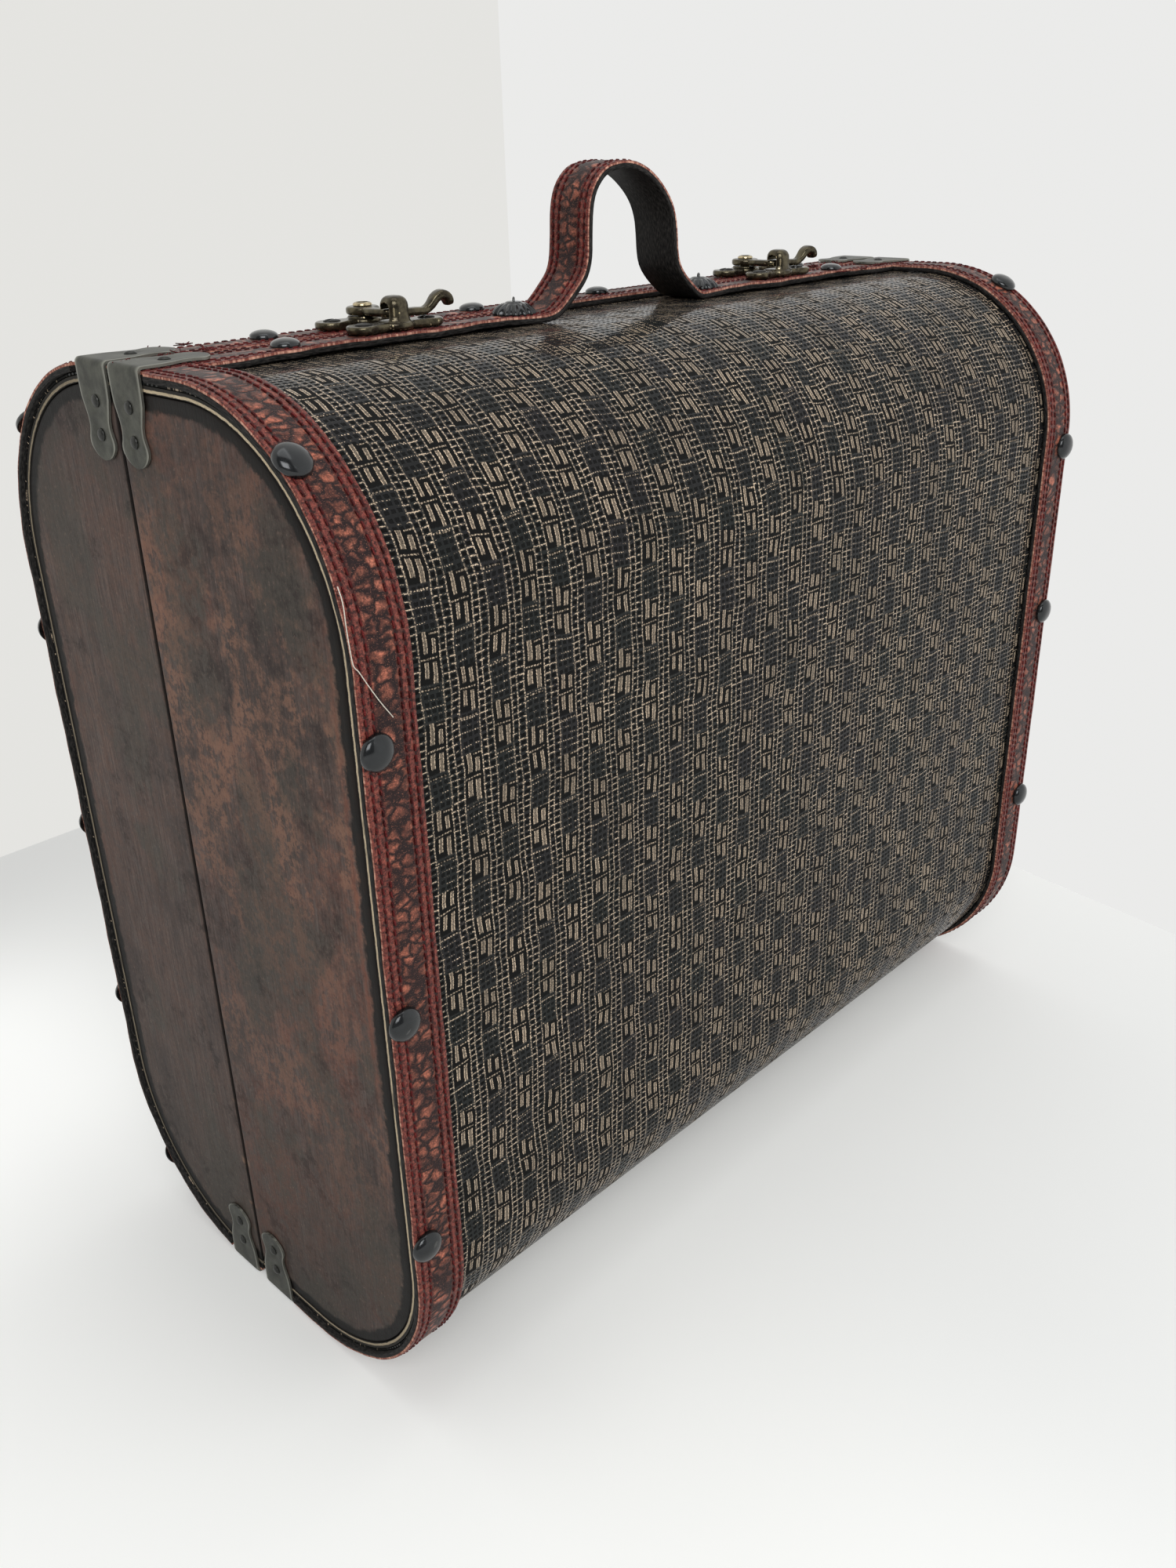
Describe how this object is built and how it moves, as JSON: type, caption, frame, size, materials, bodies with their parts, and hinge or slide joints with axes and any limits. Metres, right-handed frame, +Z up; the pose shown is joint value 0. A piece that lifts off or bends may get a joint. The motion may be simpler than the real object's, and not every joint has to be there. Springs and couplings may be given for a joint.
{
  "type": "suitcase",
  "caption": "Rectangular hard suitcase with rounded edges, split into a front tray and a hinged back lid, with swing-hook latches and an arched strap handle.",
  "frame": {"origin": "on the floor under the middle of the case's bounding box", "axes": "+Z up, +X along the width to the right seen from the front, +Y from the front tray to the lid at the back"},
  "size_m": [0.3952, 0.1908, 0.3946],
  "materials": {
    "stained_wood": "dark mottled stain, satin",
    "bent_board": "raw thin bent board, pale cut edge",
    "embossed_vinyl": "vinyl embossed with a fine basket weave, semi-gloss",
    "lining_cloth": "plain cloth lining",
    "plain_wood": "plain wood",
    "strap_leather": "crackle-embossed red-brown leatherette on a black backing, stitched edges",
    "dark_metal": "gunmetal, satin",
    "dull_steel": "dull grey steel",
    "antique_brass": "antique brass, dark in the recesses"
  },
  "bodies": {
    "base": {"base_bottom_batten": "plain_wood", "base_bottom_strap": "strap_leather", "base_cover": "embossed_vinyl", "base_left_bottom_plate": "dull_steel", "base_left_edge_strip": "strap_leather", "base_left_panel": "stained_wood", "base_left_top_plate": "dull_steel", "base_lining": "lining_cloth", "base_right_bottom_plate": "dull_steel", "base_right_edge_strip": "strap_leather", "base_right_panel": "stained_wood", "base_right_top_plate": "dull_steel", "base_skin": "bent_board", "base_strap_stud_1": "dark_metal", "base_strap_stud_2": "dark_metal", "base_top_batten": "plain_wood", "handle_strap": "strap_leather", "left_concho": "dark_metal", "left_edge_stud_1": "dark_metal", "left_edge_stud_2": "dark_metal", "left_edge_stud_3": "dark_metal", "left_edge_stud_4": "dark_metal", "left_hinge_base_leaf": "dull_steel", "left_hinge_pin": "dull_steel", "left_keeper": "antique_brass", "right_concho": "dark_metal", "right_edge_stud_1": "dark_metal", "right_edge_stud_2": "dark_metal", "right_edge_stud_3": "dark_metal", "right_edge_stud_4": "dark_metal", "right_hinge_base_leaf": "dull_steel", "right_hinge_pin": "dull_steel", "right_keeper": "antique_brass"},
    "lid": {"left_hinge_lid_leaf": "dull_steel", "left_latch_plate": "antique_brass", "left_latch_rivet": "antique_brass", "lid_bottom_batten": "plain_wood", "lid_bottom_strap": "strap_leather", "lid_cover": "embossed_vinyl", "lid_left_bottom_plate": "dull_steel", "lid_left_edge_strip": "strap_leather", "lid_left_panel": "stained_wood", "lid_left_top_plate": "dull_steel", "lid_lining": "lining_cloth", "lid_right_bottom_plate": "dull_steel", "lid_right_edge_strip": "strap_leather", "lid_right_panel": "stained_wood", "lid_right_top_plate": "dull_steel", "lid_skin": "bent_board", "lid_strap_stud_1": "dark_metal", "lid_strap_stud_2": "dark_metal", "lid_strap_stud_3": "dark_metal", "lid_strap_stud_4": "dark_metal", "lid_top_batten": "plain_wood", "lid_top_strap": "strap_leather", "right_hinge_lid_leaf": "dull_steel", "right_latch_plate": "antique_brass", "right_latch_rivet": "antique_brass"},
    "left_hook": {"left_hook": "antique_brass"},
    "right_hook": {"right_hook": "antique_brass"}
  },
  "joints": [
    {"name": "lid_hinge", "type": "hinge", "parent": "base", "child": "lid", "pos_m": [0, 0.013, 0.0016], "axis": [-1, 0, 0], "range_deg": [0, 100]},
    {"name": "left_hook_swing", "type": "hinge", "parent": "lid", "child": "left_hook", "pos_m": [-0.09801, 0.0215, 0.3507], "axis": [0, 0, 1], "range_deg": [0, 110]},
    {"name": "right_hook_swing", "type": "hinge", "parent": "lid", "child": "right_hook", "pos_m": [0.107, 0.0215, 0.3507], "axis": [0, 0, 1], "range_deg": [0, 110]}
  ]
}
